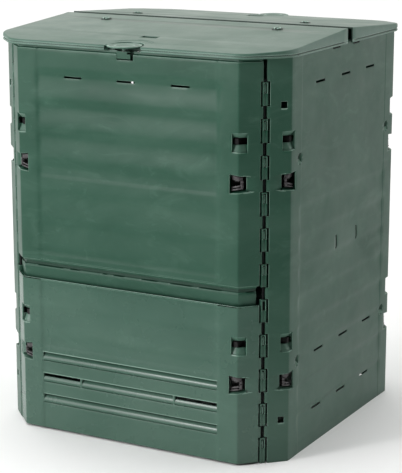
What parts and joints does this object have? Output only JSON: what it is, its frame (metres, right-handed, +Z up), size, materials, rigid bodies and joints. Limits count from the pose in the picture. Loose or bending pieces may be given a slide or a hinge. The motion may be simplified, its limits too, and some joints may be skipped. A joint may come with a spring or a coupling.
{
  "type": "compost bin",
  "caption": "Square garden compost bin with chamfered clipped corners, ridge-hinged two-wing lid, turn latches and louvred clip-off removal flaps.",
  "frame": {"origin": "centre of the footprint, on the ground", "axes": "+Z up, front with its removal flap at -Y, right-hand side wall at +X"},
  "size_m": [0.818, 0.89, 1.0333],
  "materials": {
    "wall_plastic": "satin, finely textured recycled polypropylene",
    "lid_plastic": "satin recycled polypropylene with a light bloom",
    "inner_plastic": "dark matt moulded plastic",
    "rod_coated": "black coated steel rod",
    "clip_steel": "spring steel"
  },
  "bodies": {
    "bin": {"front_panel": "wall_plastic", "rear_panel": "wall_plastic", "left_wall": "wall_plastic", "right_wall": "wall_plastic", "rod_front_right": "rod_coated", "rod_rear_right": "rod_coated", "rod_rear_left": "rod_coated", "rod_front_left": "rod_coated", "upper_brace_front_right": "inner_plastic", "upper_brace_rear_right": "inner_plastic", "upper_brace_rear_left": "inner_plastic", "upper_brace_front_left": "inner_plastic", "lower_brace_front_right": "inner_plastic", "lower_brace_rear_right": "inner_plastic", "lower_brace_rear_left": "inner_plastic", "lower_brace_front_left": "inner_plastic", "ridge_beam": "inner_plastic", "front_hinge_rod": "rod_coated", "rear_hinge_rod": "rod_coated"},
    "front_lid": {"front_wing": "lid_plastic", "front_right_hinge_arm": "inner_plastic", "front_right_stud": "lid_plastic", "front_left_hinge_arm": "inner_plastic", "front_left_stud": "lid_plastic"},
    "front_turn_latch": {"front_latch": "lid_plastic", "front_latch_clip": "clip_steel"},
    "front_removal_flap": {"front_flap": "wall_plastic"},
    "rear_lid": {"rear_wing": "lid_plastic", "rear_right_hinge_arm": "inner_plastic", "rear_right_stud": "lid_plastic", "rear_left_hinge_arm": "inner_plastic", "rear_left_stud": "lid_plastic"},
    "rear_turn_latch": {"rear_latch": "lid_plastic", "rear_latch_clip": "clip_steel"},
    "rear_removal_flap": {"rear_flap": "wall_plastic"}
  },
  "joints": [
    {"name": "front_lid_hinge", "type": "hinge", "parent": "bin", "child": "front_lid", "pos_m": [0, -0.028, 1.013], "axis": [-1, 0, 0], "range_deg": [0, 90]},
    {"name": "rear_lid_hinge", "type": "hinge", "parent": "bin", "child": "rear_lid", "pos_m": [0, 0.028, 1.013], "axis": [1, 0, 0], "range_deg": [0, 90]},
    {"name": "front_latch_turn", "type": "hinge", "parent": "front_lid", "child": "front_turn_latch", "pos_m": [0, -0.398, 1.003], "axis": [0, 0, 1], "range_deg": [0, 90]},
    {"name": "rear_latch_turn", "type": "hinge", "parent": "rear_lid", "child": "rear_turn_latch", "pos_m": [0, 0.398, 1.003], "axis": [0, 0, 1], "range_deg": [0, 90]},
    {"name": "front_flap_pull", "type": "slide", "parent": "bin", "child": "front_removal_flap", "axis": [0, -1, 0], "range_m": [0, 0.35]},
    {"name": "rear_flap_pull", "type": "slide", "parent": "bin", "child": "rear_removal_flap", "axis": [0, 1, 0], "range_m": [0, 0.35]}
  ]
}
